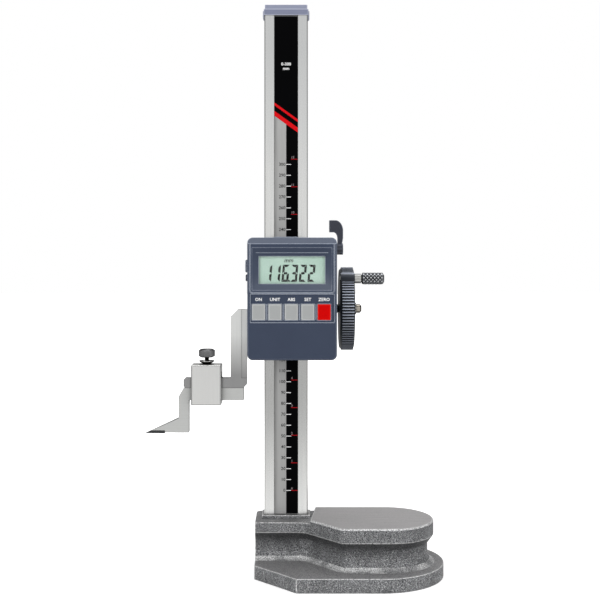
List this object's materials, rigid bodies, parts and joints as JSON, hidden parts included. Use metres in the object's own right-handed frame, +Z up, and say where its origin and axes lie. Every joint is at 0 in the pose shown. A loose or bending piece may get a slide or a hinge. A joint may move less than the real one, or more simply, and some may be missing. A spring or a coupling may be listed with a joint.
{
  "type": "digital height gauge",
  "caption": "Column height gauge with a cast foot, graduated bar, geared slider with a handwheel, keyed numeric display and a clamped scriber.",
  "frame": {"origin": "on the surface plate under the middle of the column", "axes": "+Z up the column, -Y towards the user (display side), +X to the user's right, where the handwheel is"},
  "size_m": [0.2732, 0.1387, 0.5196],
  "materials": {
    "board_green": "solder resist",
    "bronze": "turned",
    "cap_plastic": "moulded",
    "carbide": "ground carbide",
    "case_plastic": "moulded",
    "cell_steel": "plated",
    "clear_window": "polished",
    "column_steel": "ground",
    "dark_steel": "black oxide",
    "grey_alloy": "die cast and painted",
    "grey_casting": "sand cast, machined on top and underneath",
    "grey_rubber": "moulded",
    "key_grey": "moulded",
    "key_red": "moulded",
    "knurled_steel": "knurled",
    "lcd_glass": "reflective liquid-crystal panel",
    "scale_black": "printed film",
    "scale_steel": "satin chrome scale",
    "tool_steel": "ground",
    "wheel_plastic": "moulded, slight gloss"
  },
  "bodies": {
    "stand": {"base_casting": "grey_casting", "column_bolts": "dark_steel", "column": "column_steel", "rack": "tool_steel", "rack_screws": "dark_steel", "scale_strip": "scale_steel", "scale_film": "scale_black", "column_cap": "cap_plastic"},
    "slider": {"slider_frame": "tool_steel", "gib_strip": "bronze", "gib_screws": "dark_steel", "clamp_shoe": "bronze", "gear_case": "grey_alloy", "gear_case_screws": "dark_steel", "bush_left": "bronze", "bush_right": "bronze", "housing_front": "case_plastic", "housing_rear": "case_plastic", "display_window": "clear_window", "display_panel": "lcd_glass", "main_board": "board_green", "sensor_board": "board_green", "key_mat": "grey_rubber", "port_socket": "cell_steel", "housing_screws": "dark_steel"},
    "lock_lever": {"clamp_lever": "grey_alloy", "clamp_screw": "dark_steel"},
    "wheel": {"handwheel": "wheel_plastic", "wheel_shaft": "tool_steel", "pinion": "tool_steel", "wheel_washer": "cell_steel", "wheel_nut": "cell_steel", "crank_pin": "cell_steel"},
    "grip": {"crank_grip": "knurled_steel"},
    "drawer": {"battery_drawer": "case_plastic", "battery_cell": "cell_steel"},
    "data_cover": {"port_cover": "grey_rubber"},
    "tool_clamp": {"scriber_clamp": "tool_steel", "thumb_washer": "cell_steel"},
    "clamp_foot": {"clamp_pad": "bronze"},
    "clamp_knob": {"thumb_screw": "knurled_steel"},
    "scribing_tool": {"scriber": "tool_steel", "carbide_tip": "carbide"},
    "button_1": {"key_1": "key_grey"},
    "button_2": {"key_2": "key_grey"},
    "button_3": {"key_3": "key_grey"},
    "button_4": {"key_4": "key_grey"},
    "button_5": {"key_5": "key_red"}
  },
  "joints": [
    {"name": "slider_travel", "type": "slide", "parent": "stand", "child": "slider", "axis": [0, 0, 1], "range_m": [-0.11632, 0.18368]},
    {"name": "handwheel_turn", "type": "hinge", "parent": "slider", "child": "wheel", "pos_m": [0.05, 0.01875, 0.2381], "axis": [1, 0, 0], "range_deg": [-600, 945]},
    {"name": "crank_grip_spin", "type": "hinge", "parent": "wheel", "child": "grip", "pos_m": [0.0795, -0.00581, 0.2671], "axis": [1, 0, 0], "continuous": true},
    {"name": "lock_lever_turn", "type": "hinge", "parent": "slider", "child": "lock_lever", "pos_m": [0.0497, 0, 0.2943], "axis": [1, 0, 0], "range_deg": [-60, 30]},
    {"name": "battery_drawer_slide", "type": "slide", "parent": "slider", "child": "drawer", "axis": [-1, 0, 0], "range_m": [0, 0.017]},
    {"name": "data_cover_pull", "type": "slide", "parent": "slider", "child": "data_cover", "axis": [-1, 0, 0], "range_m": [0, 0.008]},
    {"name": "tool_clamp_slide", "type": "slide", "parent": "slider", "child": "tool_clamp", "axis": [1, 0, 0], "range_m": [0, 0.008]},
    {"name": "clamp_foot_lift", "type": "slide", "parent": "tool_clamp", "child": "clamp_foot", "axis": [0, 0, 1], "range_m": [0, 0.0017]},
    {"name": "thumb_screw_turn", "type": "hinge", "parent": "clamp_foot", "child": "clamp_knob", "pos_m": [-0.0736, -0.0005, 0.19], "axis": [0, 0, 1], "range_deg": [0, 720]},
    {"name": "scriber_slide", "type": "slide", "parent": "slider", "child": "scribing_tool", "axis": [-1, 0, 0], "range_m": [-0.001, 0.015]},
    {"name": "key_1_press", "type": "slide", "parent": "slider", "child": "button_1", "axis": [0, 1, 0], "range_m": [0, 0.0009], "stiffness_N_per_m": 1000},
    {"name": "key_2_press", "type": "slide", "parent": "slider", "child": "button_2", "axis": [0, 1, 0], "range_m": [0, 0.0009], "stiffness_N_per_m": 1000},
    {"name": "key_3_press", "type": "slide", "parent": "slider", "child": "button_3", "axis": [0, 1, 0], "range_m": [0, 0.0009], "stiffness_N_per_m": 1000},
    {"name": "key_4_press", "type": "slide", "parent": "slider", "child": "button_4", "axis": [0, 1, 0], "range_m": [0, 0.0009], "stiffness_N_per_m": 1000},
    {"name": "key_5_press", "type": "slide", "parent": "slider", "child": "button_5", "axis": [0, 1, 0], "range_m": [0, 0.0009], "stiffness_N_per_m": 1000}
  ],
  "couplings": [
    {"joint": "handwheel_turn", "follows": "slider_travel", "rad_per_m": 88.889},
    {"joint": "clamp_foot_lift", "follows": "thumb_screw_turn", "m_per_rad": 0.00012732}
  ]
}
